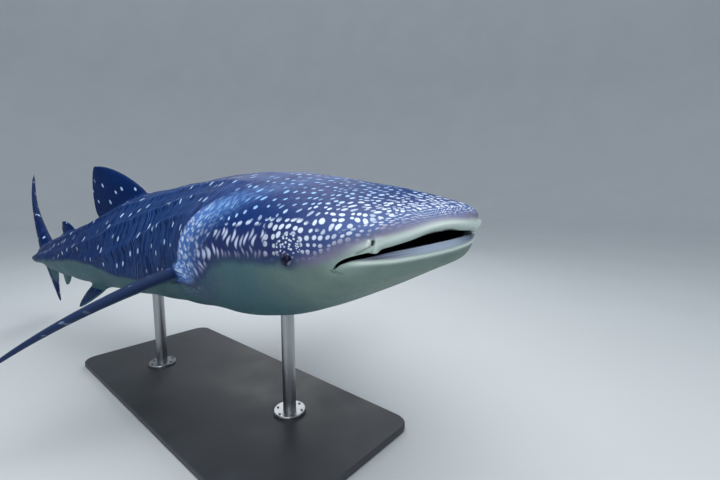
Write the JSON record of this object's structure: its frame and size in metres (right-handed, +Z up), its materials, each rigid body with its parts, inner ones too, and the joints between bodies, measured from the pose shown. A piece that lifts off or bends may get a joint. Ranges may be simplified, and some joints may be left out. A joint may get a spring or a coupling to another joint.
{
  "type": "whale shark model",
  "caption": "Life-size whale shark with its mouth a little open, its body curving as it swims, held over a flat base by two rods.",
  "frame": {"origin": "centre of the stand base's underside, on the floor, straight under the animal's centre of mass", "axes": "+X forwards along the line from the tail root to the snout, +Y to the animal's left, +Z up"},
  "size_m": [5.3203, 2.5403, 1.551],
  "materials": {
    "skin": "wet smooth hide, slate blue with pale spots and bars, pale below",
    "eye": "glossy, near black",
    "stand_base": "satin black powder coat",
    "stand_rod": "brushed"
  },
  "bodies": {
    "root": {"head": "skin", "lower_jaw": "skin", "gill_region": "skin", "trunk_front": "skin", "trunk_rear": "skin", "tail_stalk": "skin", "caudal_upper_lobe": "skin", "caudal_lower_lobe": "skin", "dorsal_fin_first": "skin", "dorsal_fin_second": "skin", "anal_fin": "skin", "pectoral_fin_left": "skin", "pectoral_fin_right": "skin", "pelvic_fin_left": "skin", "pelvic_fin_right": "skin", "eye_left": "eye", "eye_right": "eye", "stand_base": "stand_base", "stand_rod_front": "stand_rod", "stand_rod_rear": "stand_rod"}
  },
  "joints": []
}
